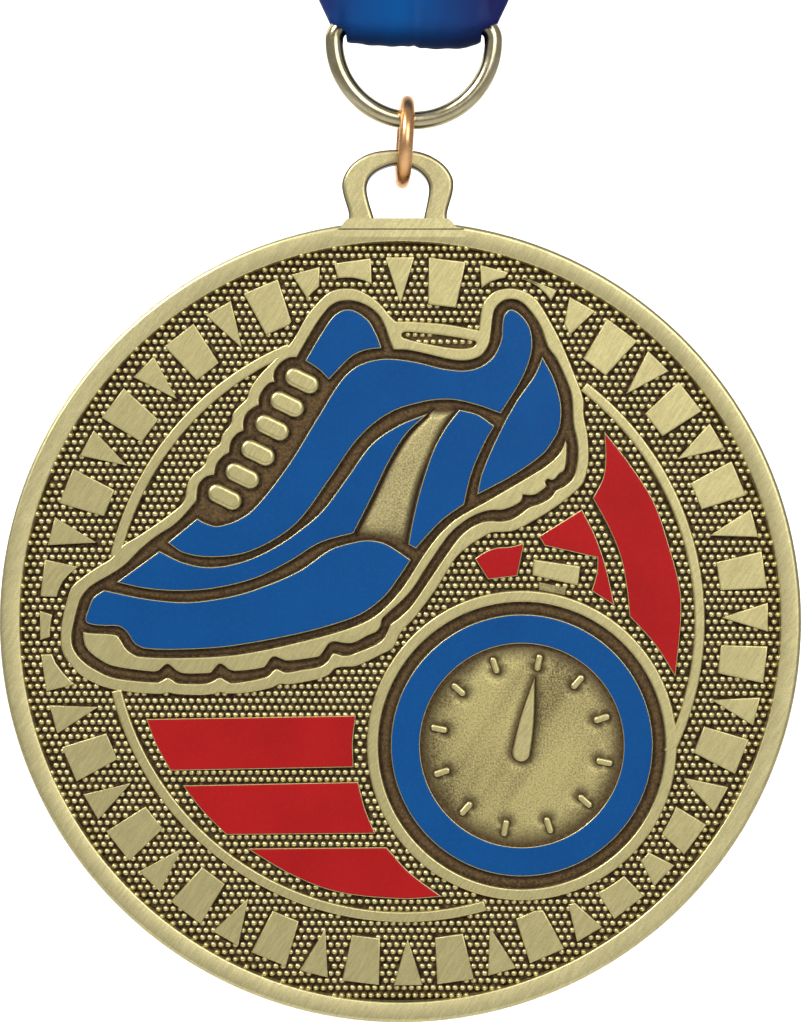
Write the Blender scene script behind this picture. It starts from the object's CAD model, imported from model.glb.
"""Looks of the finisher medal: struck and antiqued gold, enamel colours, wire rings, satin ribbon.

Sizes are in millimetres and MM turns them into metres. Points of the face are (u, v): to the
right of the disc's centre and up from it. Depth is y, and the front looks along -Y.
"""

import math

import bmesh
import bpy
import numpy as np
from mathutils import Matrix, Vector
from mathutils.geometry import tessellate_polygon


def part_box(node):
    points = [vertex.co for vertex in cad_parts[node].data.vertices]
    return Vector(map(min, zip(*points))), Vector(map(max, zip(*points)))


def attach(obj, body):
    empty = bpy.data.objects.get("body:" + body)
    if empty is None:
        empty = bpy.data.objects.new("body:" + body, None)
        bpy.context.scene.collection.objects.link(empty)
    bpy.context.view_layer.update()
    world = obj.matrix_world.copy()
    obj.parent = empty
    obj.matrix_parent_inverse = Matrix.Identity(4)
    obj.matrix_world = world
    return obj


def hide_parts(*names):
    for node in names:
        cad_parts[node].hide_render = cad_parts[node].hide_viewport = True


MM = 0.001

# The casting.
DISC_RADIUS = 35.0
BACK_Y = 1.42
RIM_Y = -1.78
FLOOR_Y = -1.18
BACK_RECESS = 0.3
BACK_RIM_WIDTH = 2.3
RIM_INNER = 32.9
RIM_EDGE = 0.38
BACK_EDGE = 0.5
BAIL_HALF_THICKNESS = 1.3
BAIL_EDGE = 0.34
BAIL_FOOT_Y = RIM_Y - 0.005
CREASE_LIFT = 0.006
ART_CENTRE = (0.31, 0.04)
LINE_HEIGHT = 0.494
BAND_HEIGHT = 0.50
CASE_HEIGHT = 0.497
DETAIL_HEIGHT = 0.44
LOW_HEIGHT = 0.2
SHADOW_HEIGHT = 0.16
DIAL_SLOPE = 2.3
DIAL_FALL = 0.78
DIAL_DIP = 0.13
DIP_WIDTH = 0.5
GROUND_LIFT = 0.004
GROUND_RISE = 0.06
GROUND_REACH = 0.42
GROUND_PITCH = 0.13
ENAMEL_HEIGHT = 0.46
EDGE_ROUND = 0.11
FOOT_WIDTH = 0.24
ROOT_DEPTH = 0.15
RING_LINE = (25.36, 26.27)
RING_LINE_SPANS = ((112.6, 167.5), (193.5, 286.0), (333.5, 412.5))
TEETH_RADII = (27.73, 31.79)
TEETH_PAIRS = 24
TEETH_TURN = math.radians(0.65)
TEETH_CLEARANCE = 0.95
BLOCK_WIDTHS = (3.25, 2.47)
SPIKE_WIDTHS = (2.55, 0)
SMALLEST_TOOTH = 0.12
ENAMEL_BORDER = 0.045

# The stippled ground: rows of small domes, every other row shifted by half a step.
DOT_PITCH = (0.64, 0.627)
DOT_RADIUS = 0.27
DOT_HEIGHT = 0.27
DOT_CLEARANCE = 0.03
DOT_SIDES = 9
DOT_LEVELS = ((1.0, -0.02), (0.93, 0.5), (0.62, 0.88))
DOT_OVERRUN = 0.25
RIM_DOT_HEIGHT = 0.595
DOT_STRETCH = 1.1

# The stopwatch.
WATCH_CENTRE = (10.6, -10.8)
WATCH_CASE = (12.53, 13.53)
WATCH_ENAMEL = (8.9, 11.43)
WATCH_DIAL_RADIUS = 8.75
TICK_COUNT = 12
TICK_RADIUS = 7.37
TICK_SIZE = (1.48, 0.57)
TICK_TURN = math.radians(11.4)
HAND_ROUND = (10.55, -11.45)
HAND_RADIUS = 0.76
HAND_TIP = (11.73, -4.85)
HAND_BOW = 0.2
LACE_SIZE = (3.2, 1.72)
LACE_TILT = math.radians(-26)
LACE_CENTRES = (
    (-8.6, 21.05), (-9.9, 19.0), (-11.2, 16.95), (-12.45, 14.75), (-13.8, 12.75), (-15.35, 10.9),
)

# The rings. Heights are above the disc's centre.
JUMP_RADIUS = 3.46
JUMP_WIRE = 0.64
JUMP_CENTRE_V = 41.99
JUMP_AXIS_U = 0.49
JUMP_TILT = math.radians(3.5)
JUMP_YAW = math.radians(2.2)
JUMP_GAP = 0.09
JUMP_JOINT = math.radians(62)
D_RADIUS = 6.97
D_WIRE = 0.8
D_ARC_V = 50.87
D_BAR_V = 52.3
D_CORNER = 1.3

# The ribbon, 22 mm wide, cut 813 mm (32 inches) long.
RIBBON_WIDTH = 22.0
RIBBON_THICKNESS = 0.42
RIBBON_EDGE = 0.5
HOOK_V = 435.0
HOOK_BEND = 5.22
FOLD_BEND = 1.38
SEWN_TO_V = 68.0
LAP_LOW_V = 55.8
LAP_HIGH_V = 72.0
RIBBON_ACROSS = 64
GATHER_FOLDS = (
    (-1.0, 0.02), (-0.85, 0.14), (-0.5, 0.34), (-0.08, 0.4), (0.0, 0.26), (0.1, 0.56),
    (0.5, 0.6), (0.8, 0.5), (1.0, 0.04),
)
FRONT_Y = -0.3
LAP_Y = 0.92
FLARE_FROM = 5.3
FLARE_SPAN = 1.2
FLARE_LEVELS = (51.4, 51.9, 52.6, 55.5)
FLARE_LIFTS = (0.0, 0.62, 0.62, 0.0)
SEAM_LEVELS = (("seam_lower", 57.5), ("seam_upper", 65.5))
SEAM_STITCHES = 9
SEAM_MARGIN = 1.3
THREAD_RADIUS = 0.17

# The stage, in metres, and the camera's view of the face.
STAGE_SIZE = 6.0
FLOOR_DROP = 0.62
WALL_Y = 4.2
CAMERA_DISTANCE = 0.4
VIEW_WIDTH = 70.07
VIEW_CENTRE = (0.09, 9.58)

# Outlines of the face. A point marked C is a corner; the line is smooth through the others.
C = "corner"
SHOE_OUTER = (
    (-25.3, 5.5), (-26.2, 4.95), (-27.6, 4.0), (-28.6, 3.15), (-29.0, 2.3), (-29.55, 0.0),
    (-29.65, -1.1), (-29.6, -2.2), (-29.3, -3.05), (-28.1, -4.5), (-27.1, -5.15), (-26.0, -5.65),
    (-24.2, -6.05), (-21.0, -6.3), (-20.35, -6.15), (-19.7, -6.3), (-17.5, -6.4), (-16.3, -6.3),
    (-15.7, -6.15), (-15.0, -6.27), (-13.3, -6.17), (-11.95, -5.93), (-11.15, -5.72),
    (-10.6, -5.43), (-9.7, -5.45), (-8.1, -5.2), (-6.95, -4.92), (-6.2, -4.57), (-5.7, -4.07),
    (-5.0, -3.93), (-3.95, -3.87), (-2.8, -3.4), (-1.6, -2.8), (-0.75, -2.35), (-0.35, -1.7),
    (0.0, -0.95), (1.2, 0.35), (2.95, 2.65), (4.85, 5.6), (6.0, 6.65), (7.0, 7.3), (8.0, 7.8),
    (9.0, 7.85), (10.0, 8.0), (12.0, 9.05), (13.85, 10.25), (15.5, 11.6), (16.05, 12.35),
    (16.42, 14.0), (16.35, 16.2), (16.0, 18.1), (15.98, 19.4), (15.2, 21.6), (14.1, 24.25),
    (13.2, 26.0), (12.1, 27.85), (11.3, 28.6), (10.4, 29.0), (9.4, 29.1), (8.4, 28.9),
    (7.8, 28.5), (7.25, 27.8), (7.05, 27.0), (6.85, 25.45, C), (4.0, 25.97), (1.0, 26.2),
    (-0.4, 26.22, C), (-0.85, 26.65), (-2.0, 27.95), (-3.6, 28.95), (-4.6, 29.1), (-5.6, 29.0),
    (-6.5, 28.55), (-8.0, 26.93), (-9.6, 24.3), (-12.0, 21.85), (-12.8, 20.85), (-13.2, 20.15),
    (-13.4, 19.5), (-13.95, 18.95), (-14.6, 18.2), (-14.8, 17.3), (-15.5, 16.4), (-15.8, 15.5),
    (-16.35, 15.1), (-16.8, 14.5), (-17.05, 13.8), (-17.4, 13.4), (-18.05, 12.9), (-18.5, 12.25),
    (-18.7, 11.45), (-18.8, 10.8), (-19.2, 10.15), (-21.0, 8.75), (-23.1, 7.35), (-24.2, 6.7),
)
SHOE_INNER = (
    (-23.03, 6.03), (-24.0, 5.05), (-25.0, 4.33), (-27.0, 3.15), (-27.7, 2.4), (-28.05, 1.7),
    (-28.6, -0.5), (-28.7, -1.35), (-28.6, -2.15), (-28.2, -2.9), (-27.45, -3.65), (-26.5, -4.25),
    (-25.4, -4.77), (-24.1, -5.05), (-21.2, -5.28), (-20.7, -5.08), (-20.35, -4.88),
    (-20.0, -5.0), (-19.5, -5.33), (-18.5, -5.41), (-17.0, -5.39), (-16.4, -5.2), (-15.73, -4.88),
    (-15.25, -5.12), (-14.7, -5.34), (-13.45, -5.2), (-12.0, -4.9), (-11.5, -4.72), (-11.1, -4.3),
    (-10.77, -4.12), (-10.35, -4.3), (-9.87, -4.42), (-8.5, -4.18), (-7.05, -3.92), (-6.4, -3.5),
    (-6.03, -2.96), (-5.77, -2.75), (-5.12, -2.93), (-4.5, -2.93), (-3.85, -2.7), (-2.0, -1.92),
    (-1.4, -1.37), (-0.85, -0.2, C), (0.0, 0.42), (1.0, 1.42), (3.05, 4.42), (5.1, 7.3),
    (6.1, 8.17), (7.1, 8.67), (7.88, 8.8), (8.77, 8.77), (9.65, 8.93), (10.35, 9.3), (11.3, 10.0),
    (12.25, 10.33), (13.15, 10.85), (13.6, 11.45), (14.45, 11.9), (15.1, 12.6), (15.45, 14.0),
    (15.46, 15.45), (15.1, 17.3), (14.95, 19.65), (14.55, 20.95), (13.6, 23.0), (12.9, 23.97),
    (12.16, 25.93), (11.0, 27.55), (10.25, 28.08), (9.52, 28.18), (8.87, 27.98), (8.32, 27.44),
    (8.1, 26.85), (7.86, 24.92), (7.7, 24.2), (7.25, 23.48), (6.65, 23.05), (5.68, 22.83),
    (4.48, 22.9), (0.76, 23.72), (-0.6, 23.78, C), (-0.9, 24.45), (-1.55, 26.22), (-2.15, 27.05),
    (-3.1, 27.7), (-4.3, 28.05), (-5.5, 27.93), (-6.35, 27.36), (-7.52, 25.75), (-9.07, 23.1, C),
    (-9.7, 23.07), (-10.4, 22.67), (-10.93, 22.0), (-11.06, 21.38), (-10.97, 20.95, C),
    (-11.47, 20.83), (-12.0, 20.26), (-12.32, 19.57), (-12.35, 18.93, C), (-12.8, 18.74),
    (-13.44, 18.18), (-13.7, 17.43), (-13.68, 16.72, C), (-14.3, 16.4), (-14.8, 15.7),
    (-14.95, 14.8, C), (-15.45, 14.5), (-16.03, 13.8), (-16.25, 12.85, C), (-17.04, 12.62),
    (-17.63, 11.93), (-17.8, 10.6, C), (-18.9, 9.32), (-19.87, 8.4), (-20.93, 7.74), (-22.0, 6.97),
)
COLLAR_SLOT = (
    (0.1, 25.05), (0.3, 25.28), (1.0, 25.3), (4.0, 24.97), (6.5, 24.5), (6.6, 24.25),
    (6.28, 23.97), (5.0, 23.86), (2.45, 24.25), (0.25, 24.8),
)
SOLE_STRIP = (
    (-27.75, -0.85, C), (-27.2, -0.97), (-25.06, -1.1), (-24.63, -1.3), (-24.0, -2.28),
    (-23.5, -2.72), (-22.8, -3.03), (-19.0, -3.15), (-14.0, -2.84), (-8.0, -1.58), (-4.0, -0.4),
    (-2.0, 0.66), (0.0, 2.72), (2.0, 5.77), (3.0, 7.15), (3.95, 8.17), (4.9, 9.0), (8.0, 10.77),
    (12.0, 13.12), (13.0, 13.8), (13.6, 14.35), (14.08, 15.0), (14.45, 15.95, C), (14.54, 15.3),
    (14.35, 13.35), (13.9, 12.95), (13.5, 12.5), (13.2, 12.37), (12.82, 12.47), (12.63, 12.17, C),
    (12.75, 11.85), (12.3, 11.45), (11.68, 11.09), (10.67, 11.1, C), (10.64, 10.77),
    (10.35, 10.39), (9.0, 9.8), (8.0, 9.76), (7.1, 9.57), (6.1, 9.12), (5.1, 8.43), (4.08, 7.41),
    (2.05, 4.44), (1.04, 2.87), (0.0, 1.75), (-1.5, 0.4), (-1.65, 0.08), (-1.76, -0.4),
    (-2.08, -0.83), (-2.67, -1.1), (-4.16, -1.84), (-5.0, -1.84), (-5.76, -1.72), (-6.24, -1.88),
    (-7.04, -2.96), (-7.57, -3.12), (-9.9, -3.39), (-10.56, -3.18), (-11.0, -3.02),
    (-11.36, -3.23), (-11.68, -3.71), (-12.0, -4.0), (-14.4, -4.3), (-15.0, -4.14),
    (-15.47, -3.77), (-15.77, -3.66), (-16.1, -3.9), (-16.53, -4.4), (-17.06, -4.5),
    (-18.98, -4.5), (-19.6, -4.24), (-20.0, -3.87), (-20.37, -3.69), (-20.74, -3.92),
    (-21.1, -4.24), (-21.65, -4.35), (-25.06, -3.87), (-26.2, -3.34), (-27.0, -2.75),
    (-27.5, -2.16), (-27.7, -1.42),
)
STRIPE_LEFT = ((2.9, 18.45), (0.9, 16.45), (-0.7, 14.0), (-2.1, 11.1), (-3.8, 7.65))
STRIPE_RIGHT = ((4.8, 18.5), (3.8, 17.1), (2.6, 14.6), (1.45, 11.6), (0.4, 6.9))
STRIPE_LENGTH = 11
GOLD_BAR = ((11.6, 5.45, C), (15.72, 4.85, C), (15.5, 3.17, C), (11.53, 4.06, C))
SHADOW_BAR = ((12.1, 3.45, C), (14.5, 2.95, C), (14.4, 2.3, C), (12.1, 2.75, C))
HOLE_CENTRE = (-0.2, 37.8)
CREASE_CENTRE = (0.05, 34.27)
CREASE_SIZE = (11.0, 0.1)
BAIL_FOOT = (
    (-5.9, 33.6, C), (-5.3, 34.3), (-4.7, 35.1), (-4.2, 35.2), (3.8, 35.2), (4.3, 35.1),
    (5.0, 34.3), (5.7, 33.6, C),
)
BAIL_OUTER = (
    (-5.4, 33.4, C), (-4.75, 34.8), (-4.5, 35.5), (-5.1, 37.9), (-4.9, 39.0), (-4.1, 40.1),
    (-2.6, 40.95), (-0.4, 41.25), (1.9, 41.0), (3.6, 40.1), (4.5, 38.9), (4.6, 37.8),
    (4.05, 35.5), (4.35, 34.8), (5.1, 33.4, C),
)
BAIL_HOLE = (
    (-2.25, 35.0, C), (-2.95, 37.6), (-2.75, 38.7), (-1.9, 39.5), (-0.3, 39.98), (1.3, 39.6),
    (2.2, 38.8), (2.5, 37.8), (2.0, 35.0, C),
)
BLUE_CELLS = {
    "shoe_tongue_enamel": (
        (-8.3, 22.8, C), (-7.0, 25.0), (-5.7, 26.8), (-4.4, 27.25), (-2.9, 26.4), (-2.1, 25.1),
        (-1.65, 23.9, C), (-2.9, 23.75), (-4.2, 23.2), (-6.25, 21.15, C), (-7.1, 22.0),
    ),
    "shoe_collar_enamel": (
        (9.65, 27.25), (9.1, 26.8), (8.9, 25.9), (8.8, 24.6), (7.9, 22.9), (6.2, 22.0),
        (4.0, 22.05), (1.2, 22.7), (-1.4, 22.95), (-3.6, 22.4), (-5.1, 21.15), (-7.3, 17.7),
        (-9.7, 13.8), (-12.3, 10.4), (-13.8, 9.1), (-15.9, 8.35), (-17.0, 8.6), (-17.75, 9.0, C),
        (-20.3, 6.9, C), (-18.9, 6.0), (-16.5, 5.65), (-13.6, 6.0), (-10.8, 7.3), (-8.7, 9.0),
        (-6.3, 12.3), (-3.6, 16.1), (-1.0, 18.2), (2.0, 19.2), (4.4, 19.4), (6.6, 18.95),
        (8.75, 18.2, C), (10.6, 21.2), (11.45, 23.6), (11.35, 25.5), (10.6, 26.7),
    ),
    "shoe_middle_enamel": (
        (2.35, 18.15, C), (-0.2, 17.1), (-2.5, 15.5), (-4.7, 12.5), (-6.8, 9.7), (-8.5, 8.2),
        (-10.8, 6.6), (-13.6, 5.3), (-16.5, 4.75), (-18.9, 5.15), (-21.05, 6.15, C),
        (-24.75, 3.45, C), (-22.2, 2.9), (-19.1, 2.7), (-16.1, 2.95), (-12.7, 3.8), (-9.8, 5.2),
        (-7.0, 6.9), (-4.1, 7.75, C), (-2.5, 10.9), (-1.0, 14.0), (0.5, 16.4),
    ),
    "shoe_toe_enamel": (
        (-27.5, 0.1), (-27.25, 1.1), (-26.8, 2.1), (-25.9, 2.75, C), (-22.2, 2.0), (-18.7, 1.7),
        (-15.3, 2.1), (-12.7, 2.8), (-8.9, 4.4), (-6.1, 6.3), (-4.2, 6.9), (-2.8, 7.1),
        (-1.3, 6.8), (0.9, 5.4, C), (-0.1, 3.9), (-1.4, 2.2), (-3.2, 0.8), (-5.1, 0.0),
        (-8.9, -1.05), (-14.6, -2.1), (-18.4, -2.4), (-22.2, -2.35), (-23.2, -1.9),
        (-23.9, -0.9), (-24.6, -0.4), (-25.9, -0.35), (-27.1, -0.2),
    ),
    "shoe_quarter_enamel": (
        (5.15, 18.5, C), (6.7, 18.1), (8.2, 17.1, C), (7.3, 15.5), (6.2, 12.9), (5.55, 10.25, C),
        (3.8, 9.0), (2.5, 7.7), (1.35, 6.4, C), (0.7, 6.75, C), (1.05, 8.7), (1.7, 11.4),
        (2.9, 15.0), (4.0, 17.0),
    ),
    "shoe_heel_enamel": (
        (12.4, 23.1, C), (13.4, 21.2), (14.0, 19.0), (13.9, 17.0), (13.2, 15.6), (12.3, 14.5),
        (9.7, 12.7), (6.7, 11.1, C), (7.1, 12.9), (8.4, 16.0), (10.1, 19.2), (11.7, 21.5),
    ),
}
RED_CELLS = {
    "stripe_upper_enamel": (
        (-22.2, -8.5, C), (-3.9, -8.2, C), (-4.15, -10.4), (-4.1, -12.7, C),
        (-20.1, -13.0, C), (-21.3, -10.8),
    ),
    "stripe_middle_enamel": (
        (-19.0, -14.3, C), (-3.7, -14.0, C), (-3.1, -16.3), (-2.2, -18.5, C),
        (-15.2, -18.6, C), (-17.3, -16.5),
    ),
    "stripe_lower_enamel": (
        (-13.4, -19.8, C), (-1.2, -19.7, C), (0.8, -21.9), (3.6, -24.0, C),
        (0.1, -24.2), (-5.5, -23.6), (-9.5, -22.1),
    ),
    "crescent_enamel": (
        (17.8, 16.6, C), (20.0, 13.8), (22.1, 10.5), (23.4, 6.8), (24.4, 2.9), (24.5, 0.4),
        (24.3, -2.1), (24.0, -4.8, C), (22.3, -2.1), (20.0, 0.5, C), (19.8, 2.6), (19.3, 5.4),
        (18.3, 8.0), (16.8, 10.8, C), (17.7, 12.6), (17.9, 14.5),
    ),
    "flash_large_enamel": (
        (12.1, 7.45, C), (15.85, 9.8, C), (17.0, 7.5), (17.9, 4.9), (18.7, 1.4, C), (16.7, 2.7, C),
        (17.15, 4.3), (17.2, 5.6, C), (14.6, 6.2), (12.6, 6.65, C),
    ),
    "flash_small_enamel": (
        (6.5, 5.5, C), (7.4, 6.1), (8.4, 6.45), (9.6, 6.55), (10.8, 6.85, C),
        (10.2, 4.0, C), (7.65, 3.7, C),
    ),
}


# ---- outlines


def outline(points, step=0.16, closed=True):
    """Hermite spans through the points, straight off each corner, sampled every step mm."""
    places = [np.array(point[:2], float) for point in points]
    corner = [len(point) == 3 for point in points]
    count = len(places)
    spans = range(count) if closed else range(count - 1)
    result = []
    for i in spans:
        j = (i + 1) % count
        start, end = places[i], places[j]
        before = places[i - 1] if closed or i > 0 else start
        after = places[(i + 2) % count] if closed or i + 2 < count else end
        span = np.linalg.norm(end - start)
        leaving = end - start if corner[i] else end - before
        arriving = end - start if corner[j] else after - start
        leaving = leaving / np.linalg.norm(leaving) * span
        arriving = arriving / np.linalg.norm(arriving) * span
        steps = max(2, math.ceil(span / step))
        t = np.linspace(0, 1, steps, endpoint=False)[:, None]
        result.append(
            start * (2 * t**3 - 3 * t**2 + 1)
            + leaving * (t**3 - 2 * t**2 + t)
            + end * (3 * t**2 - 2 * t**3)
            + arriving * (t**3 - t**2)
        )
    if not closed:
        result.append(places[-1][None])
    return np.concatenate(result)


def circle(centre, radius, segments):
    a = np.arange(segments) * 2 * math.pi / segments
    return np.stack([centre[0] + radius * np.cos(a), centre[1] + radius * np.sin(a)], 1)


def arc_band(centre, radii, start, end, segments):
    inner, outer = radii
    a = np.linspace(start, end, segments + 1)
    a = np.concatenate([a, a[::-1]])
    r = np.repeat((outer, inner), segments + 1)
    return np.stack([centre[0] + r * np.cos(a), centre[1] + r * np.sin(a)], 1)


def pill(centre, size, tilt):
    """A straight bar with round ends."""
    length, width = size
    along = np.array((math.cos(tilt), math.sin(tilt)))
    across = np.array((-along[1], along[0]))
    result = []
    for side in (1, -1):
        end = np.array(centre) + along * side * (length - width) / 2
        a = math.pi * (np.linspace(0, 1, 12) - 0.5)
        result.append(end + (np.outer(np.cos(a), along) + np.outer(np.sin(a), across)) * side * width / 2)
    return np.concatenate(result)


def teardrop(centre, radius, tip, bow):
    """A round end drawn out to a point, with sides that swell by the bow."""
    out = np.array(tip) - np.array(centre)
    reach = np.linalg.norm(out)
    aim = math.atan2(out[1], out[0])
    open_angle = math.acos(radius / reach)
    a = aim + np.linspace(open_angle, 2 * math.pi - open_angle, 40)
    end = np.stack([centre[0] + radius * np.cos(a), centre[1] + radius * np.sin(a)], 1)
    share = np.linspace(0, 1, 30)[1:-1, None]
    swell = bow * np.sin(math.pi * share) * (1 - 0.45 * share) * np.array([-out[1], out[0]]) / reach
    right = end[-1] * (1 - share) + np.array(tip) * share - swell
    left = end[0] * (1 - share) + np.array(tip) * share + swell
    return np.concatenate([end, right, [tip], left[::-1]])


def area(loop):
    ahead = np.roll(loop, -1, 0)
    return float((loop[:, 0] * ahead[:, 1] - ahead[:, 0] * loop[:, 1]).sum() / 2)


def turned(loops):
    """Outer loop counter-clockwise and holes clockwise."""
    return [loop if (area(loop) > 0) == (i == 0) else loop[::-1] for i, loop in enumerate(loops)]


def grown(loop, distance):
    """A loop moved sideways, away from the solid it bounds when distance is positive."""
    ahead = np.roll(loop, -1, 0) - loop
    ahead /= np.maximum(np.linalg.norm(ahead, axis=1), 1e-9)[:, None]
    normal = np.stack([ahead[:, 1], -ahead[:, 0]], 1)
    middle = normal + np.roll(normal, 1, 0)
    middle /= np.maximum(np.linalg.norm(middle, axis=1), 1e-9)[:, None]
    stretch = distance / np.maximum((middle * normal).sum(1), 0.5)
    moved = loop + middle * stretch[:, None]
    if distance >= 0:
        return moved
    # Where an inset crosses itself, in a sharp tip, its points gather at the last good one.
    good = np.flatnonzero(from_loop(moved, loop) > -distance * 0.8)
    if len(good) == 0:
        return moved
    gap = np.abs(np.arange(len(loop))[:, None] - good[None, :])
    gap = np.minimum(gap, len(loop) - gap)
    return moved[good[gap.argmin(1)]]


def inside(points, loop):
    """Which points lie inside a closed loop."""
    x, y = points[:, 0], points[:, 1]
    found = np.zeros(len(points), bool)
    for (x0, y0), (x1, y1) in zip(loop, np.roll(loop, -1, 0)):
        crosses = (y0 > y) != (y1 > y)
        if crosses.any():
            found ^= crosses & (x < (x1 - x0) * (y - y0) / (y1 - y0 + 1e-12) + x0)
    return found


def from_loop(points, loop):
    """Distance of each point from the nearest of a loop's points."""
    result = np.full(len(points), np.inf)
    for place in loop:
        result = np.minimum(result, np.hypot(points[:, 0] - place[0], points[:, 1] - place[1]))
    return result


# ---- meshes


def linked(name, data):
    obj = bpy.data.objects.new(name, data)
    bpy.context.collection.objects.link(obj)
    return obj


def new_object(name, bm, mats, smooth_angle=40):
    bmesh.ops.recalc_face_normals(bm, faces=bm.faces)
    mesh = bpy.data.meshes.new(name)
    bm.to_mesh(mesh)
    bm.free()
    for mat in mats:
        mesh.materials.append(mat)
    mesh.shade_smooth()
    mesh.set_sharp_from_angle(angle=math.radians(smooth_angle))
    return linked(name, mesh)


def belongs(obj, location, body, node):
    """Puts a piece in its place: the body it rides on and the CAD node it stands for."""
    obj.location = location
    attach(obj, body)
    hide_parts(node)


def vertex(bm, u, y, v):
    return bm.verts.new((u * MM, y * MM, v * MM))


def cast(name, bm, *mats):
    """Finishes a piece of the casting."""
    belongs(new_object(name, bm, mats), FACE, "medal", "medal_casting")


def quarter(steps):
    """Sines and cosines of a quarter turn."""
    return [(math.sin(a), math.cos(a)) for a in math.pi / 2 * np.arange(steps + 1) / steps]


def join_rings(bm, near, far):
    ahead = [*range(1, len(near)), 0]
    return [bm.faces.new((near[i], near[j], far[j], far[i])) for i, j in enumerate(ahead)]


def join_rows(bm, rows):
    for near, far in zip(rows, rows[1:]):
        for j in range(len(near) - 1):
            bm.faces.new((near[j], near[j + 1], far[j + 1], far[j]))


def cap(bm, loops, rings):
    flat = [vert for ring in rings for vert in ring]
    for corners in tessellate_polygon([[Vector((p[0], p[1], 0)) for p in loop] for loop in loops]):
        try:
            bm.faces.new([flat[k] for k in corners])
        except ValueError:
            pass


def add_relief(bm, loops, levels):
    """Stacks copies of an outline, each (grown by, y), and closes both ends."""
    loops = turned(loops)
    last = None
    for spread, y in levels:
        shapes = [grown(loop, spread) for loop in loops]
        rings = [[vertex(bm, u, y, v) for u, v in shape] for shape in shapes]
        if last:
            for near, far in zip(last, rings):
                join_rings(bm, near, far)
        else:
            cap(bm, shapes, rings)
        last = rings
    cap(bm, shapes, last)


def rounded_levels(height, edge=EDGE_ROUND, foot=FOOT_WIDTH):
    """A wall with a soft foot on the floor, a rounded edge and a flat top."""
    top = FLOOR_Y - height
    levels = [(foot, FLOOR_Y + ROOT_DEPTH), (foot, FLOOR_Y), (foot * 0.45, FLOOR_Y - 0.04)]
    levels.append((foot * 0.15, FLOOR_Y - 0.13))
    levels += [(-edge * (1 - cos), top + edge * (1 - sin)) for sin, cos in quarter(4)]
    levels.append((-edge - 0.05, top))
    return levels


def relief(name, shapes, height, mat, edge=EDGE_ROUND, foot=FOOT_WIDTH):
    bm = bmesh.new()
    for loops in shapes:
        add_relief(bm, loops, rounded_levels(height, edge, foot))
    cast(name, bm, mat)


def disc(gold, back):
    """The blank, turned: floor, rim with softly turned edges, and the plain sunk back."""
    wall, field = RIM_INNER + 0.3, DISC_RADIUS - BACK_RIM_WIDTH
    back_floor = BACK_Y - BACK_RECESS
    front = [(0.4, FLOOR_Y), (16.0, FLOOR_Y), (RIM_INNER + 0.1, FLOOR_Y)]
    front += [(wall + 0.16 * (1 - cos), RIM_Y + 0.14 * (1 - sin)) for sin, cos in quarter(3)]
    front.append((DISC_RADIUS - RIM_EDGE - 0.05, RIM_Y))
    front += [
        (DISC_RADIUS - RIM_EDGE * (1 - sin), RIM_Y + RIM_EDGE * (1 - cos)) for sin, cos in quarter(8)
    ]
    rear = [
        (DISC_RADIUS - BACK_EDGE * (1 - cos), BACK_Y - BACK_EDGE * (1 - sin)) for sin, cos in quarter(6)
    ]
    rear += [(field, BACK_Y), (field - 0.15, BACK_Y - 0.06), (field - 0.4, back_floor)]
    rear += [(field - 0.55, back_floor), (0.4, back_floor)]
    bm = bmesh.new()
    rings = []
    for radius, y in front + rear:
        rings.append([vertex(bm, u, y, v) for u, v in circle((0, 0), radius, 384)])
    for i, (near, far) in enumerate(zip(rings, rings[1:])):
        for face in join_rings(bm, near, far):
            face.material_index = int(i + 1 >= len(front))
    bm.faces.new(rings[0])
    bm.faces.new(rings[-1]).material_index = 1
    cast("medal_disc", bm, gold, back)


def bail(gold):
    """The hanging loop: a flat slab with rounded edges, a little behind the rim."""
    edge, half = BAIL_EDGE, BAIL_HALF_THICKNESS
    levels = [(-edge - 0.05, half)]
    levels += [(-edge * (1 - sin), half - edge * (1 - cos)) for sin, cos in quarter(5)]
    levels += [(-edge * (1 - cos), -half + edge * (1 - sin)) for sin, cos in quarter(5)]
    levels.append((-edge - 0.05, -half))
    bm = bmesh.new()
    add_relief(bm, [outline(BAIL_OUTER), outline(BAIL_HOLE)], levels)
    cast("medal_bail", bm, gold)


def bail_foot(gold, patina):
    """The loop's foot, flush with the rim, and the thin line that the trimming die left across it."""
    bm = bmesh.new()
    add_relief(bm, [outline(BAIL_FOOT)], [(0, -0.2), (0, BAIL_FOOT_Y)])
    cast("bail_foot", bm, gold)
    bm = bmesh.new()
    crease = pill(CREASE_CENTRE, CREASE_SIZE, 0.0)
    add_relief(bm, [crease], [(0, RIM_Y + 0.1), (0, BAIL_FOOT_Y - CREASE_LIFT)])
    cast("bail_crease", bm, patina)


# ---- the face


def tooth(middle, outer_width, inner_width):
    """One ray of the border, wide end outwards. No inner width makes a triangle."""
    out = np.array((math.sin(middle), math.cos(middle)))
    side = np.array((out[1], -out[0])) / 2
    inner, outer = (np.array(ART_CENTRE) + out * radius for radius in TEETH_RADII)
    wide = [outer - side * outer_width, outer + side * outer_width]
    if inner_width == 0:
        return np.array([*wide, inner])
    return np.array([*wide, inner + side * inner_width, inner - side * inner_width])


def all_teeth():
    pitch = 2 * math.pi / TEETH_PAIRS
    result = []
    for i in range(TEETH_PAIRS):
        result.append(tooth(pitch * (i + 0.5) - TEETH_TURN, *BLOCK_WIDTHS))
        result.append(tooth(pitch * i - TEETH_TURN, *SPIKE_WIDTHS))
    return result


def slab(name, loop):
    bm = bmesh.new()
    add_relief(bm, [loop], [(0, 1), (0, -1)])
    return new_object(name, bm, [])


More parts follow.
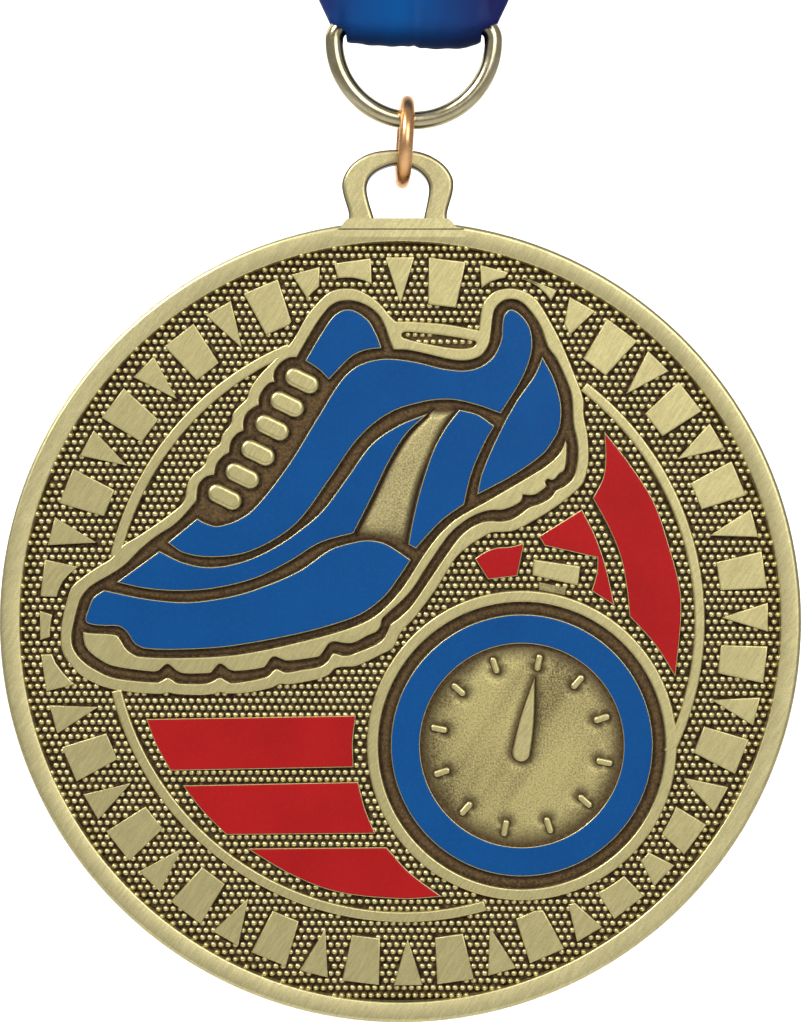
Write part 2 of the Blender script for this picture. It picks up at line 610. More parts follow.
def cut_loops(shape, cutters):
    """The outlines left of a flat shape once the cutters' areas are taken from it."""
    body = slab("cut_shape", shape)
    tools = [slab("cut_tool", cutter) for cutter in cutters]
    for tool in tools:
        tool.scale.y = 3
        modifier = body.modifiers.new("cut", "BOOLEAN")
        modifier.operation = "DIFFERENCE"
        modifier.object = tool
    bpy.context.view_layer.update()
    evaluated = body.evaluated_get(bpy.context.evaluated_depsgraph_get())
    bm = bmesh.new()
    bm.from_mesh(evaluated.data)
    bmesh.ops.remove_doubles(bm, verts=bm.verts, dist=1e-6)
    front = {face for face in bm.faces if face.normal.y < -0.9}
    follow = {}
    for face in front:
        for loop in face.loops:
            if not any(other in front for other in loop.edge.link_faces if other is not face):
                follow[loop.vert] = loop.link_loop_next.vert
    loops = []
    while follow:
        vert = next(iter(follow))
        loop = []
        while vert in follow:
            loop.append((vert.co.x / MM, vert.co.z / MM))
            vert = follow.pop(vert)
        loops.append(np.array(loop))
    bm.free()
    for obj in [body, *tools]:
        bpy.data.objects.remove(obj, do_unlink=True)
    return [loop for loop in loops if len(loop) > 2 and abs(area(loop)) > SMALLEST_TOOTH]


def border_teeth(shoe, case):
    """The rays, trimmed clear of the shoe and of the stopwatch where they reach them."""
    keep_out = [grown(turned([shoe])[0], TEETH_CLEARANCE)[::4], case]
    result = []
    for shape in all_teeth():
        near = any(inside(shape, zone).any() or inside(zone, shape).any() for zone in keep_out)
        pieces = cut_loops(shape, keep_out) if near else [shape]
        result += [[piece] for piece in pieces]
    return result


def ring_line_bands():
    """The broken circle inside the border."""
    bands = []
    for start, end in RING_LINE_SPANS:
        ends = (math.radians(start), math.radians(end))
        bands.append([arc_band(ART_CENTRE, RING_LINE, *ends, round((end - start) * 2))])
    return bands


def watch_marks():
    centre = np.array(WATCH_CENTRE)
    shapes = [[teardrop(HAND_ROUND, HAND_RADIUS, HAND_TIP, HAND_BOW)]]
    for i in range(TICK_COUNT):
        a = 2 * math.pi * i / TICK_COUNT + TICK_TURN
        out = np.array((math.sin(a), math.cos(a)))
        shapes.append([pill(centre + out * TICK_RADIUS, TICK_SIZE, math.pi / 2 - a)])
    return shapes


def watch_dial(mat):
    """A low disc, sunk at its edge and round the hand and the hour marks."""
    radii = np.linspace(0.3, WATCH_DIAL_RADIUS, 73)
    rings = [circle(WATCH_CENTRE, radius, 400) for radius in radii]
    places = np.concatenate(rings)
    to_edge = WATCH_DIAL_RADIUS - np.repeat(radii, len(rings[0]))
    fall = np.clip((DIAL_SLOPE - to_edge) / DIAL_SLOPE, 0, 1) ** 2 * DIAL_FALL
    for loops in watch_marks():
        gap = np.where(inside(places, loops[0]), 0, from_loop(places, loops[0]))
        fall = np.maximum(fall, DIAL_DIP / LOW_HEIGHT * np.exp(-((gap / DIP_WIDTH) ** 2)))
    heights = FLOOR_Y - LOW_HEIGHT * (1 - fall)
    bm = bmesh.new()
    verts = [vertex(bm, u, y, v) for (u, v), y in zip(places, heights)]
    rings = [verts[i : i + len(rings[0])] for i in range(0, len(verts), len(rings[0]))]
    for near, far in zip(rings, rings[1:]):
        join_rings(bm, near, far)
    bm.faces.new(rings[0])
    cast("watch_dial", bm, mat)


def side_stripe(mat):
    """The shoe's tapering side stripe, low and dished towards its edges."""
    left = outline(STRIPE_LEFT, 0.5, closed=False)
    right = outline(STRIPE_RIGHT, 0.5, closed=False)
    rows, columns = 40, 16

    def along(line, share):
        at = share * (len(line) - 1)
        return np.array([np.interp(at, np.arange(len(line)), line[:, k]) for k in (0, 1)])

    bm = bmesh.new()
    grid = []
    for i in range(rows + 1):
        a, b = along(left, i / rows), along(right, i / rows)
        to_end = min(i / rows, 1 - i / rows) * STRIPE_LENGTH
        row = []
        for j in range(columns + 1):
            s = j / columns
            to_side = min(s, 1 - s) * np.linalg.norm(b - a)
            fall = 1 - min(to_side / 0.9, to_end / 1.2, 1.0)
            u, v = a + (b - a) * s
            row.append(vertex(bm, u, FLOOR_Y - LOW_HEIGHT * (1.12 - fall**2), v))
        grid.append(row)
    join_rows(bm, grid)
    cast("side_stripe", bm, mat)


def ground(name, border, walls, mat):
    """A fine sheet over the floor that sinks along each wall."""
    low, high = border.min(0), border.max(0)
    columns, rows = ((high - low) / GROUND_PITCH).astype(int) + 2
    cells = [(i, j) for j in range(rows) for i in range(columns)]
    places = low + GROUND_PITCH * np.array(cells)
    rise = np.ones(len(places))
    for wall in walls:
        rise = np.minimum(rise, np.clip(from_loop(places, wall) / GROUND_REACH, 0, 1))
    heights = FLOOR_Y - GROUND_LIFT - GROUND_RISE * rise
    kept = inside(places, border)
    bm = bmesh.new()
    verts = [vertex(bm, u, y, v) for (u, v), y in zip(places, heights)]
    for first in range(columns * (rows - 1)):
        corners = (first, first + 1, first + columns + 1, first + columns)
        if (first + 1) % columns and kept[list(corners)].all():
            bm.faces.new([verts[k] for k in corners])
    loose = [vert for vert in bm.verts if not vert.link_faces]
    bmesh.ops.delete(bm, geom=loose, context="VERTS")
    cast(name, bm, mat)


def dot_places(solids, holes):
    """The stipple's grid, less the dots that the relief covers."""
    du, dv = DOT_PITCH
    rows = int(RIM_INNER / dv) + 1
    places = []
    for row in range(-rows, rows + 1):
        shift = du / 2 if row % 2 else 0
        places += [(column * du + shift, row * dv) for column in range(-rows - 1, rows + 2)]
    places = np.array(places)
    places = places[np.hypot(*places.T) < RIM_INNER + DOT_OVERRUN]
    keep = np.ones(len(places), bool)
    for loop in solids:
        low, high = loop.min(0) - 1, loop.max(0) + 1
        near = ((places > low) & (places < high)).all(1)
        hit = inside(places[near], loop) | (from_loop(places[near], loop) < DOT_CLEARANCE)
        keep[np.flatnonzero(near)[hit]] = False
    for loop in holes:
        keep |= inside(places, loop) & (from_loop(places, loop) > DOT_CLEARANCE)
    return places[keep]


def stipple(name, places, mat):
    """One small dome for each place. Those that touch the rim stand as high as it."""
    bm = bmesh.new()
    for u, v in places:
        height = RIM_DOT_HEIGHT if math.hypot(u, v) > RIM_INNER - 0.3 else DOT_HEIGHT
        rings = []
        for share, rise in DOT_LEVELS:
            y = FLOOR_Y - height * rise
            ring = circle((0, 0), DOT_RADIUS * share, DOT_SIDES)
            rings.append([vertex(bm, u + x * DOT_STRETCH, y, v + z) for x, z in ring])
        for near, far in zip(rings, rings[1:]):
            join_rings(bm, near, far)
        top = vertex(bm, u, FLOOR_Y - height, v)
        for near, far in zip(rings[-1], rings[-1][1:] + rings[-1][:1]):
            bm.faces.new((near, far, top))
    dots = new_object(name, bm, [mat], 180)
    belongs(dots, FACE, "medal", "medal_casting")


def enamel_pool(name, loops, mat):
    """Colour lying in its thin metal border, with a rounded wet edge."""
    top = FLOOR_Y - ENAMEL_HEIGHT
    edge = ((0, ENAMEL_HEIGHT - 0.2), (0, 0.08), (0.02, 0.035), (0.06, 0.01), (0.11, 0), (0.15, 0))
    bm = bmesh.new()
    add_relief(bm, loops, [(-ENAMEL_BORDER - inset, top + sink) for inset, sink in edge])
    pool = new_object(name.replace("_enamel", "_colour"), bm, [mat])
    belongs(pool, FACE, "medal", name)


# ---- rings and ribbon


def arc(radius, height, turns):
    return [(radius * math.cos(a), height + radius * math.sin(a)) for a in turns]


def wire(name, path, radius, mat, closed, sides):
    """A round wire along a path of points (x, z) in mm."""
    path = [Vector((x, 0, z)) for x, z in path]
    bm = bmesh.new()
    rings = []
    count = len(path)
    flat = Vector((0, 1, 0))
    for i, place in enumerate(path):
        before = path[i - 1] if closed or i > 0 else place
        after = path[(i + 1) % count] if closed or i + 1 < count else place
        out = (after - before).normalized().cross(flat)
        ring = []
        for k in range(sides):
            a = 2 * math.pi * k / sides
            ring.append(bm.verts.new((place + (out * math.cos(a) + flat * math.sin(a)) * radius) * MM))
        rings.append(ring)
    for near, far in zip(rings, rings[1:]):
        join_rings(bm, near, far)
    if closed:
        join_rings(bm, rings[-1], rings[0])
    else:
        bm.faces.new(rings[0])
        bm.faces.new(rings[-1])
    return new_object(name, bm, [mat])


def d_ring(mat):
    """A half-round ring with a straight bar, drawn about the bar's middle."""
    path = arc(D_RADIUS, D_ARC_V - D_BAR_V, np.linspace(math.pi, 2 * math.pi, 97))
    corner = [(D_RADIUS - D_CORNER * (1 - cos), D_CORNER * (sin - 1)) for sin, cos in quarter(12)]
    path += corner + [(-x, z) for x, z in corner[::-1]]
    ring = wire("d_ring_wire", path, D_WIRE, mat, True, 28)
    belongs(ring, at(-DISC_U, D_BAR_V), "d_ring_body", "d_ring")


def jump_ring(mat):
    """An open-jointed round ring. Its joint is at the top, behind the D-ring."""
    centre = JUMP_CENTRE_V - D_ARC_V + D_RADIUS
    half_gap = JUMP_GAP / JUMP_RADIUS / 2
    turns = JUMP_JOINT + np.linspace(half_gap, 2 * math.pi - half_gap, 121)
    ring = wire("jump_ring_wire", arc(JUMP_RADIUS, centre, turns), JUMP_WIRE, mat, False, 24)
    ring.rotation_euler = (JUMP_TILT, 0, math.pi / 2 + JUMP_YAW)
    belongs(ring, at(JUMP_AXIS_U, D_ARC_V - D_RADIUS), "jump_ring_body", "jump_ring")


def ribbon_line():
    """The strip's middle line as (y, v): back lap, up, over the hook, down, round the bar, up."""
    half_turn = np.linspace(0, math.pi, 13)
    round_bar = np.linspace(math.pi, 2 * math.pi, 13)[1:-1]
    return [
        (LAP_Y + 0.06, LAP_LOW_V), (LAP_Y, 60.0), (LAP_Y, SEWN_TO_V),
        *arc(HOOK_BEND, HOOK_V, half_turn),
        (FRONT_Y, SEWN_TO_V), (FRONT_Y, 57.0), (-0.95, 53.7),
        *arc(FOLD_BEND, D_BAR_V, round_bar),
        (0.95, 53.8), (0.35, 57.0), (0.3, SEWN_TO_V), (0.34, LAP_HIGH_V),
    ]


def sampled(points):
    """Dense points along a polyline, closer together where it bends and near the rings."""
    result = []
    for (y0, v0), (y1, v1) in zip(points, points[1:]):
        span = math.hypot(y1 - y0, v1 - v0)
        pitch = 0.25 if max(v0, v1) < 75 else 0.7 if min(v0, v1) > 430 else 4.0
        steps = max(1, math.ceil(span / pitch))
        result += [(y0 + (y1 - y0) * i / steps, v0 + (v1 - v0) * i / steps) for i in range(steps)]
    return np.array(result + [points[-1]])


def eased(points):
    """Rounds the kinks of a densely sampled line."""
    for _ in range(6):
        points[1:-1] = (points[:-2] + 2 * points[1:-1] + points[2:]) / 4
    return points


def half_width(v):
    """Half the strip's width at a height: gathered inside the D-ring, wide above it."""
    levels = (50.0, 51.72, 51.98, 52.07, 54.3, 57.6, 61.4, 64.5)
    widths = (5.75, 5.98, 6.6, 7.2, 8.25, 9.6, 10.75, RIBBON_WIDTH / 2)
    return np.interp(v, levels, widths)


def bulge(across, v):
    """How far the cloth stands out: gathers that die out upwards, and a flare over the ring's arms."""
    places, lifts = zip(*GATHER_FOLDS)
    gather = np.clip((RIBBON_WIDTH / 2 - half_width(v)) / 5.0, 0, 1)
    flare = np.clip((abs(across) * half_width(v) - FLARE_FROM) / FLARE_SPAN, 0, 1) ** 2
    flare = flare * np.interp(v, FLARE_LEVELS, FLARE_LIFTS)
    return flare + gather * (np.interp(across, places, lifts) + 0.04 * np.cos(np.multiply(across, 19.0)))


def ribbon(satin):
    """One strip with a front and a back side, closed along its edges and ends."""
    line = eased(sampled(ribbon_line()))
    tangent = np.gradient(line, axis=0)
    tangent /= np.linalg.norm(tangent, axis=1)[:, None]
    outward = np.stack([tangent[:, 1], -tangent[:, 0]], 1)
    across = np.linspace(-1, 1, RIBBON_ACROSS + 1)
    bm = bmesh.new()
    sides = []
    for face in (1, -1):
        rows = []
        for (y, v), (out_y, out_v), width in zip(line, outward, half_width(line[:, 1])):
            edge = np.minimum(1, (1 - abs(across)) * width / RIBBON_EDGE)
            offset = bulge(across, v) + face * RIBBON_THICKNESS / 2 * (0.55 + 0.45 * np.sqrt(edge))
            spots = zip(across * width, y + out_y * offset, v + out_v * offset)
            rows.append([vertex(bm, *spot) for spot in spots])
        join_rows(bm, rows)
        sides.append(rows)
    front, back = sides
    for end in (0, -1):
        join_rows(bm, [front[end], back[end]])
        join_rows(bm, [[row[end] for row in rows] for rows in sides])
    strip = new_object("ribbon_strip", bm, [satin], 60)
    belongs(strip, at(-DISC_U, 0), "ribbon", "neck_ribbon")


def stitch(bm, middle, length, v, surface, side):
    """A short run of thread that dives into the cloth at both ends."""
    rings = []
    for share in np.linspace(-1, 1, 9):
        y = surface(middle + share * length) + side * THREAD_RADIUS * (0.6 - 1.8 * abs(share) ** 3)
        swell = THREAD_RADIUS * math.sqrt(max(0.05, 1 - 0.8 * share * share))
        ring = circle((y, v + 0.05 * share), swell, 8)
        ring[:, 0] = y + (ring[:, 0] - y) * 0.7
        rings.append([vertex(bm, middle + share * length, a, b) for a, b in ring])
    for near, far in zip(rings, rings[1:]):
        join_rings(bm, near, far)
    bm.faces.new(rings[0])
    bm.faces.new(rings[-1])


def seam(name, v, mat):
    """A row of lockstitches, through to the back."""
    bm = bmesh.new()
    half = float(half_width(v))
    pitch = 2 * (half - SEAM_MARGIN) / SEAM_STITCHES
    for side, y in ((-1, FRONT_Y), (1, LAP_Y)):

        def surface(x):
            return y + side * (RIBBON_THICKNESS / 2 + float(bulge(x / half, v)))

        for i in range(SEAM_STITCHES):
            stitch(bm, pitch * (i + 0.5) - (half - SEAM_MARGIN), pitch * 0.42, v, surface, side)
    row = new_object(name + "_stitches", bm, [mat])
    belongs(row, at(-DISC_U, 0), "ribbon", name)


# ---- materials


class Nodes:
    """Short names for building a material's node tree."""

    def __init__(self, name):
        self.material = bpy.data.materials.new(name)
        self.material.use_nodes = True
        self.tree = self.material.node_tree
        self.shader = self.tree.nodes["Principled BSDF"]

    def add(self, kind, inputs=None, **settings):
        node = self.tree.nodes.new("ShaderNode" + kind)
        for key, value in settings.items():
            setattr(node, key, value)
        for key, value in (inputs or {}).items():
            self.feed(node.inputs[key], value)
        return node

    def feed(self, socket, value):
        if isinstance(value, bpy.types.NodeSocket):
            self.tree.links.new(value, socket)
        elif socket.type == "RGBA":
            socket.default_value = (*value, 1)
        else:
            socket.default_value = value

    def place(self, scale=(1, 1, 1), turn=0.0):
        """Object coordinates, turned about Y and then scaled."""
        coordinates = self.add("TexCoord").outputs["Object"]
        turned = self.add("Mapping", {"Vector": coordinates, "Rotation": (0, turn, 0)}).outputs["Vector"]
        return self.add("Mapping", {"Vector": turned, "Scale": scale}).outputs["Vector"]

    def axis(self, place, name):
        return self.add("SeparateXYZ", {"Vector": place}).outputs[name]

    def noise(self, vector, scale, detail=3.0, roughness=0.55):
        inputs = {"Vector": vector, "Scale": scale, "Detail": detail, "Roughness": roughness}
        return self.add("TexNoise", inputs).outputs["Fac"]

    def waves(self, vector, scale, direction, distortion=0.0):
        inputs = {"Vector": vector, "Scale": scale, "Distortion": distortion}
        return self.add("TexWave", inputs, bands_direction=direction).outputs["Fac"]

    def spread(self, value, low, high, to_low=0.0, to_high=1.0):
        inputs = {"Value": value, "From Min": low, "From Max": high, "To Min": to_low, "To Max": to_high}
        return self.add("MapRange", inputs).outputs["Result"]

    def math(self, operation, a, b):
        return self.add("Math", {0: a, 1: b}, operation=operation).outputs[0]

    def blend(self, factor, a, b):
        node = self.add("Mix", data_type="RGBA")
        for socket, value in zip((node.inputs[0], node.inputs[6], node.inputs[7]), (factor, a, b)):
            self.feed(socket, value)
        return node.outputs[2]

    def bump(self, height, strength, distance):
        """The surface's fine relief, distance in mm. It comes last and gives back the material."""
        node = self.add("Bump", {"Height": height, "Strength": strength, "Distance": distance * MM})
        self.feed(self.shader.inputs["Normal"], node.outputs["Normal"])
        return self.material

    def set(self, **inputs):
        for key, value in inputs.items():
            self.feed(self.shader.inputs[key.replace("_", " ")], value)


PATINA = ((0.014, 0.0065, 0.002), (0.075, 0.04, 0.013))
BRIGHT_X = -1.6
BRUSH_TURN = -0.6
STREAK_TURN = -0.52
GOLD = (0.72, 0.63, 0.30)
RIM_GOLD = (0.77, 0.68, 0.345)
WORN_DARK = (0.066, 0.042, 0.016)

# Heights over the floor between which patina turns to gold, for pieces of one tone.
ALL_GOLD = (-9.0, -8.0)
NO_GOLD = (8.0, 9.0)


def scaled(colour, factor):
    return tuple(part * factor for part in colour)


def gold_tone(n, place, bright, contrast):
    """Brushed and faintly pitted metal colour, with the height that its bump uses."""
    streaks = n.noise(n.place((6500.0, 6500.0, 800.0), BRUSH_TURN), 1.0, 2.0, 0.6)
    fine = n.noise(place, 8000.0, 2.0)
    cloud = n.noise(place, 220.0, 2.0)
    tone = n.blend(n.spread(streaks, 0.35, 0.68), scaled(bright, 0.85), scaled(bright, 1.08))
    tone = n.blend(n.spread(cloud, 0.35, 0.65, 0.0, 0.16), tone, scaled(bright, 0.6))
    tone = n.blend(n.spread(fine, 0.4, 0.68, 0.0, contrast), tone, scaled(bright, 0.45))
    height = n.math("ADD", n.math("MULTIPLY", fine, 0.6), n.math("MULTIPLY", streaks, 0.8))
    return tone, fine, height


def antique_gold(name, bright, clear_from, clear_to, brush=0.2):
    """Satin gold on what stands high, dark patina below. Heights over the floor are in mm."""
    n = Nodes(name)
    place = n.place()
    rise = n.spread(n.axis(place, "Y"), (FLOOR_Y - clear_from) * MM, (FLOOR_Y - clear_to) * MM)
    mottle = n.noise(place, 2600.0, 3.0, 0.7)
    rise = n.spread(n.math("ADD", rise, n.spread(mottle, 0.3, 0.7, -0.12, 0.12)), 0.0, 1.0)
    tone, fine, height = gold_tone(n, place, bright, 0.3)
    patina = n.blend(n.spread(mottle, 0.34, 0.66), *PATINA)
    n.set(Base_Color=n.blend(rise, patina, tone), Metallic=n.spread(rise, 0.0, 0.6, 0.0, 1.0))
    roughness = n.math("ADD", n.spread(rise, 0.0, 1.0, 0.7, 0.36), n.spread(fine, 0.3, 0.7, -0.05, 0.07))
    n.set(Roughness=roughness, Specular_IOR_Level=0.15)
    return n.bump(height, brush, 0.02)


def slab_gold(name, bright, core, skin):
    """Gold faces, dark rounded edges and a dark wall inside the loop's hole. Depths are in mm."""
    n = Nodes(name)
    place = n.place()
    depth = n.math("ABSOLUTE", n.axis(place, "Y"), 0.0)
    aside = n.math("SUBTRACT", n.axis(place, "X"), HOLE_CENTRE[0] * MM)
    above = n.math("SUBTRACT", n.axis(place, "Z"), HOLE_CENTRE[1] * MM)
    reach = n.math("ADD", n.math("MULTIPLY", aside, aside), n.math("MULTIPLY", above, above))
    outer_wall = n.spread(n.math("POWER", reach, 0.5), 3.3 * MM, 4.1 * MM, 0.0, 0.7)
    outer_wall = n.math("MULTIPLY", outer_wall, n.spread(depth, 0.95 * MM, 0.8 * MM))
    rise = n.math("MAXIMUM", n.spread(depth, core * MM, skin * MM), outer_wall)
    tone, fine, height = gold_tone(n, place, bright, 0.4)
    patina = n.blend(fine, *PATINA)
    n.set(Base_Color=n.blend(rise, patina, tone), Metallic=n.spread(rise, 0.0, 1.0, 0.3, 1.0))
    n.set(Roughness=n.spread(fine, 0.3, 0.7, 0.32, 0.44), Specular_IOR_Level=0.2)
    return n.bump(height, 0.2, 0.02)


def worn_gold(name, bright, cover_low, cover_high):
    """A low field: patina rubbed through to gold in grains and in slanting bands."""
    n = Nodes(name)
    place = n.place()
    rise = n.spread(n.axis(place, "Y"), (FLOOR_Y + 0.04) * MM, (FLOOR_Y - LOW_HEIGHT * 0.97) * MM)
    bands = n.noise(n.place((330.0, 330.0, 60.0), STREAK_TURN), 1.0, 1.0, 0.5)
    grain = n.noise(place, 6500.0, 2.0, 0.7)
    rubbed = n.spread(bands, 0.36, 0.66, cover_low, cover_high)
    rubbed = n.math("ADD", rubbed, n.spread(grain, 0.3, 0.7, -0.45, 0.45))
    rubbed = n.spread(n.math("MULTIPLY", n.math("POWER", rise, 3.0), rubbed), 0.0, 1.0)
    n.set(Base_Color=n.blend(rubbed, WORN_DARK, bright), Metallic=n.spread(rubbed, 0.0, 0.8, 0.2, 1.0))
    n.set(Roughness=n.spread(grain, 0.3, 0.7, 0.36, 0.48), Specular_IOR_Level=0.2)
    return n.bump(grain, 0.3, 0.02)


def ground_brown(name):
    """The recessed ground: brown in the open, nearly black along the walls."""
    n = Nodes(name)
    place = n.place()
    top = FLOOR_Y - GROUND_LIFT
    rise = n.spread(n.axis(place, "Y"), top * MM, (top - GROUND_RISE) * MM)
    grain = n.noise(place, 5200.0, 3.0, 0.7)
    open_tone = n.blend(n.spread(grain, 0.36, 0.64), (0.055, 0.031, 0.012), (0.155, 0.096, 0.04))
    n.set(Base_Color=n.blend(n.math("POWER", rise, 1.3), (0.012, 0.006, 0.003), open_tone))
    n.set(Metallic=n.spread(rise, 0.0, 1.0, 0.0, 0.35), Roughness=n.spread(grain, 0.3, 0.7, 0.45, 0.6))
    n.set(Specular_IOR_Level=0.15)
    return n.bump(grain, 0.4, 0.02)


def enamel(name, base, deep):
    n = Nodes(name)
    place = n.place()
    cloud = n.noise(place, 160.0, 3.0)
    grain = n.noise(place, 2600.0, 2.0)
    n.set(Base_Color=n.blend(n.spread(cloud, 0.3, 0.7), base, deep), Metallic=0.0)
    n.set(Roughness=n.spread(grain, 0.3, 0.7, 0.22, 0.3), Specular_IOR_Level=0.12)
    return n.bump(n.math("ADD", cloud, n.math("MULTIPLY", grain, 0.03)), 0.08, 0.06)


def plated_wire(name, base, tint, rough):
    n = Nodes(name)
    place = n.place()
    cloud = n.noise(place, 350.0, 4.0)
    grain = n.noise(place, 3000.0, 2.0)
    n.set(Base_Color=n.blend(n.spread(cloud, 0.35, 0.7), base, tint), Metallic=1.0)
    n.set(Roughness=n.spread(grain, 0.3, 0.7, rough, rough + 0.08))
    return n.bump(n.math("ADD", cloud, n.math("MULTIPLY", grain, 0.1)), 0.1, 0.05)


def satin(name, base, shade, fold_shade):
    """Fine weft ribs. The tone turns from bright blue left of the middle to navy at the sides."""
    n = Nodes(name)
    place = n.place()
    cloud = n.noise(n.place((1.0, 1.0, 0.35)), 260.0, 3.0)
    weft = n.math("MULTIPLY", n.waves(place, 1400.0, "Z", 0.4), 0.7)
    weave = n.math("ADD", weft, n.math("MULTIPLY", n.waves(place, 2600.0, "X", 0.2), 0.3))
    aside = n.math("ABSOLUTE", n.math("SUBTRACT", n.axis(place, "X"), BRIGHT_X * MM), 0.0)
    fade = n.math("ADD", n.spread(aside, 0.0, 8.5 * MM), n.spread(cloud, 0.3, 0.7, -0.12, 0.12))
    colour = n.blend(n.spread(fade, 0.0, 1.0), base, shade)
    colour = n.blend(n.spread(weave, 0.1, 0.9, 0.12, 0.0), colour, shade)
    colour = n.blend(n.spread(n.axis(place, "Z"), 50.0 * MM, 52.6 * MM, 0.85, 0.0), colour, fold_shade)
    n.set(Base_Color=colour, Roughness=0.5, Specular_IOR_Level=0.04)
    return n.bump(weave, 0.12, 0.02)


def thread(name, base):
    n = Nodes(name)
    twist = n.waves(n.place(turn=0.6), 1800.0, "X")
    n.set(Base_Color=n.blend(twist, scaled(base, 0.6), base), Roughness=0.55)
    return n.bump(twist, 0.4, 0.04)


# ---- stage


def stage_surface(name, location, turn):
    bm = bmesh.new()
    bmesh.ops.create_grid(bm, x_segments=2, y_segments=2, size=STAGE_SIZE)
    n = Nodes(name)
    haze = n.noise(n.place(), 3.0, 2.0)
    n.set(Base_Color=n.blend(haze, (0.9, 0.9, 0.9), (0.94, 0.94, 0.94)), Roughness=0.9)
    obj = new_object(name, bm, [n.material])
    obj.location = location
    obj.rotation_euler = turn


def softbox(name, location, target, size, power):
    lamp = bpy.data.lights.new(name, "AREA")
    lamp.shape = "RECTANGLE"
    lamp.size, lamp.size_y = size
    lamp.energy = power
    obj = linked(name, lamp)
    obj.location = location
    obj.rotation_euler = (target - location).to_track_quat("-Z", "Y").to_euler()


def studio():
    """A pale floor and wall, lit apart from the medal. Places and sizes are in metres."""
    stage_surface("floor", (0, 0, FACE.z - FLOOR_DROP), (0, 0, 0))
    stage_surface("backdrop", FACE + Vector((0, WALL_Y, STAGE_SIZE - FLOOR_DROP)), (math.pi / 2, 0, 0))
    world = bpy.data.worlds.new("studio")
    bpy.context.scene.world = world
    world.use_nodes = True
    background = world.node_tree.nodes["Background"]
    background.inputs["Color"].default_value = (1, 1, 1, 1)
    background.inputs["Strength"].default_value = 0.3
    bpy.context.scene.view_settings.view_transform = "Standard"
    softbox("key", FACE + Vector((-0.6, -0.62, 0.7)), FACE, (0.4, 0.4), 9.7)
    softbox("front", FACE + Vector((0.45, -1.2, 0.5)), FACE, (0.85, 0.85), 7.8)
    softbox("back_left", FACE + Vector((-0.5, 0.25, 0.5)), FACE, (0.3, 0.6), 1)
    wall = FACE + Vector((0, WALL_Y, 0))
    for name, side in (("wall_left", -1), ("wall_right", 1)):
        lit_spot = wall + Vector((side * 0.38, 0, 0.1))
        softbox(name, wall + Vector((side * 1.9, -2.1, 1.3)), lit_spot, (1.6, 1.6), 70)


def camera():
    """Square on to the face. The disc fills the picture's width."""
    data = bpy.data.cameras.new("camera")
    data.sensor_fit = "HORIZONTAL"
    data.lens = data.sensor_width * CAMERA_DISTANCE / (VIEW_WIDTH * MM)
    data.clip_start = 0.01
    obj = linked("camera", data)
    obj.location = at(*VIEW_CENTRE) + Vector((0, RIM_Y * MM - CAMERA_DISTANCE, 0))
    obj.rotation_euler = (math.pi / 2, 0, 0)
    bpy.context.scene.camera = obj


# ---- assembly

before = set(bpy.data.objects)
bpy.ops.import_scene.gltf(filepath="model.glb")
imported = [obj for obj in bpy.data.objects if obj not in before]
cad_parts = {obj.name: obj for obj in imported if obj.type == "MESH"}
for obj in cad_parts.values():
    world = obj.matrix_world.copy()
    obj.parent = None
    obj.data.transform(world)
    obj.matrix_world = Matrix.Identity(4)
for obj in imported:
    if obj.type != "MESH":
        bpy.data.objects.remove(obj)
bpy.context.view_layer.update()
low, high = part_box("medal_casting")
FACE = Vector(((low.x + high.x) / 2, 0, low.z + DISC_RADIUS * MM))
DISC_U = FACE.x / MM


def at(u, v):
    return FACE + Vector((u, 0, v)) * MM


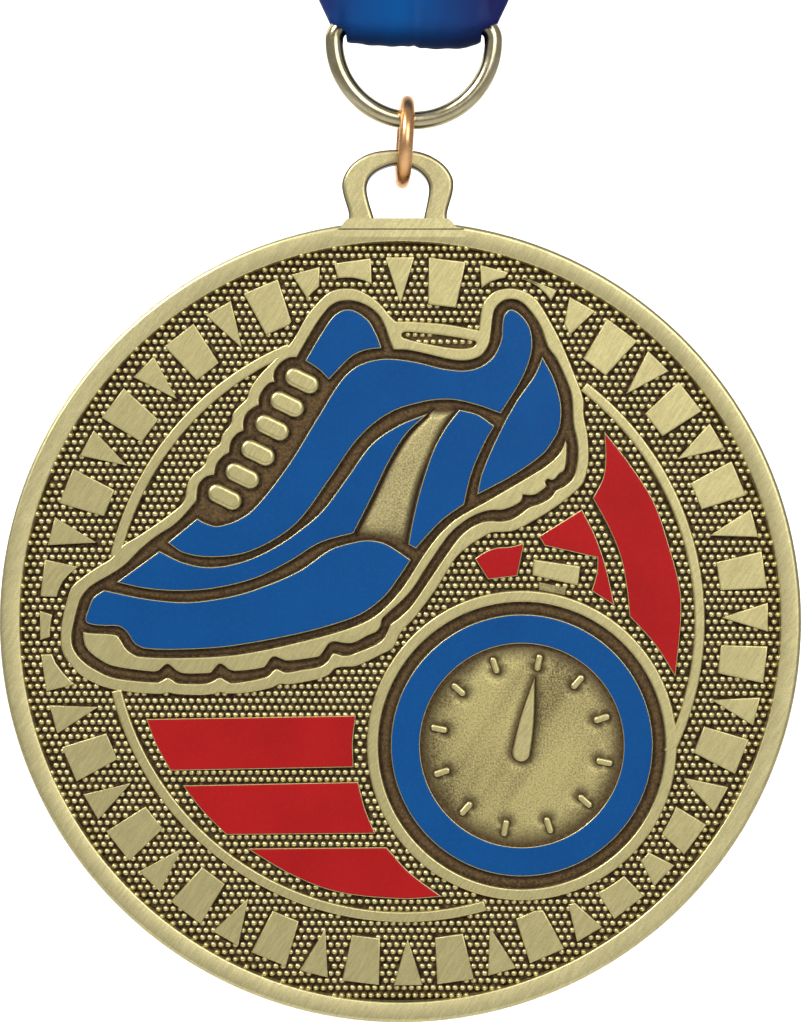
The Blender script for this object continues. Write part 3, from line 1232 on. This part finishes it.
def face_pieces():
    gold = antique_gold("antique_gold", GOLD, 0.14, 0.36)
    rim_gold = antique_gold("rim_gold", RIM_GOLD, 0.14, 0.36)
    foot_gold = antique_gold("foot_gold", RIM_GOLD, *ALL_GOLD)
    back_gold = antique_gold("back_gold", (0.62, 0.55, 0.29), *ALL_GOLD, 0.6)
    dot_gold = antique_gold("stipple_gold", (0.76, 0.66, 0.32), 0.07, 0.23)
    crease = antique_gold("crease_patina", GOLD, *NO_GOLD)
    bail_gold = slab_gold("bail_gold", (0.70, 0.61, 0.31), 1.16, 1.29)
    dial_gold = worn_gold("dial_gold", (0.65, 0.56, 0.24), 0.34, 0.84)
    stripe_gold = worn_gold("stripe_gold", (0.62, 0.53, 0.25), 0.5, 0.85)
    brown = ground_brown("ground_brown")
    blue = enamel("blue_enamel", (0.005, 0.073, 0.25), (0.004, 0.062, 0.22))
    red = enamel("red_enamel", (0.40, 0.011, 0.012), (0.34, 0.009, 0.010))

    disc(rim_gold, back_gold)
    bail(bail_gold)
    bail_foot(foot_gold, crease)
    shoe, shoe_inner, slot, sole = map(outline, (SHOE_OUTER, SHOE_INNER, COLLAR_SLOT, SOLE_STRIP))
    bar, shadow = outline(GOLD_BAR), outline(SHADOW_BAR)
    laces = [pill(centre, LACE_SIZE, LACE_TILT) for centre in LACE_CENTRES]
    case_inner, case_outer = (circle(WATCH_CENTRE, radius, 160) for radius in WATCH_CASE)
    teeth = border_teeth(shoe, circle(WATCH_CENTRE, WATCH_CASE[1] + TEETH_CLEARANCE, 120))
    lines = ring_line_bands()
    relief("shoe_outline", [[shoe, shoe_inner, slot]], BAND_HEIGHT, gold)
    relief("shoe_sole", [[sole]], DETAIL_HEIGHT, gold)
    relief("shoe_laces", [[lace] for lace in laces], DETAIL_HEIGHT, gold, 0.36)
    relief("border_rays", teeth, DETAIL_HEIGHT, gold, 0.09, 0.12)
    relief("ring_line", lines, LINE_HEIGHT, gold, 0.14)
    relief("watch_case", [[case_outer, case_inner]], CASE_HEIGHT, gold, 0.14)
    relief("watch_marks", watch_marks(), DETAIL_HEIGHT, gold, 0.16, 0.3)
    relief("side_bar", [[bar]], DETAIL_HEIGHT, gold)
    relief("shadow_bar", [[shadow]], SHADOW_HEIGHT, stripe_gold, 0.05, 0.05)
    watch_dial(dial_gold)
    side_stripe(stripe_gold)

    blue_cells = {name: [outline(points)] for name, points in BLUE_CELLS.items()}
    red_cells = {name: [outline(points)] for name, points in RED_CELLS.items()}
    inner, outer = WATCH_ENAMEL
    ring = [circle(WATCH_CENTRE, outer, 200), circle(WATCH_CENTRE, inner, 160)]
    for name, loops in blue_cells.items():
        enamel_pool(name, loops, blue)
    for name, loops in red_cells.items():
        enamel_pool(name, loops, red)
    enamel_pool("stopwatch_ring_enamel", ring, blue)
    beds = [*blue_cells.values(), *red_cells.values(), ring]
    relief("enamel_beds", beds, ENAMEL_HEIGHT - 0.05, gold, 0.05, 0.16)

    stripe_edges = [outline(line, closed=False) for line in (STRIPE_LEFT, STRIPE_RIGHT)]
    stripe = np.concatenate([stripe_edges[0], stripe_edges[1][::-1]])
    blues = [loops[0] for loops in blue_cells.values()]
    ground("shoe_ground", grown(shoe, -0.3), [shoe_inner, sole, stripe, *laces, *blues], brown)
    ground("watch_ground", circle(WATCH_CENTRE, WATCH_CASE[0] + 0.3, 90), [case_inner, ring[0]], brown)

    raised = [shoe, case_outer, bar, shadow]
    raised += [loops[0] for loops in (*lines, *teeth, *red_cells.values())]
    places = dot_places(raised, [slot])
    half = len(places) // 2
    stipple("stipple_lower", places[:half], dot_gold)
    stipple("stipple_upper", places[half:], dot_gold)


def build():
    face_pieces()
    d_ring(plated_wire("ring_wire", (0.64, 0.57, 0.39), (0.42, 0.35, 0.17), 0.17))
    jump_ring(plated_wire("copper_wire", (0.93, 0.55, 0.26), (0.80, 0.37, 0.14), 0.26))
    ribbon(satin("blue_satin", (0.0, 0.072, 0.26), (0.012, 0.013, 0.075), (0.004, 0.006, 0.03)))
    stitches = thread("blue_thread", (0.01, 0.06, 0.26))
    for name, v in SEAM_LEVELS:
        seam(name, v, stitches)
    studio()
    camera()


build()
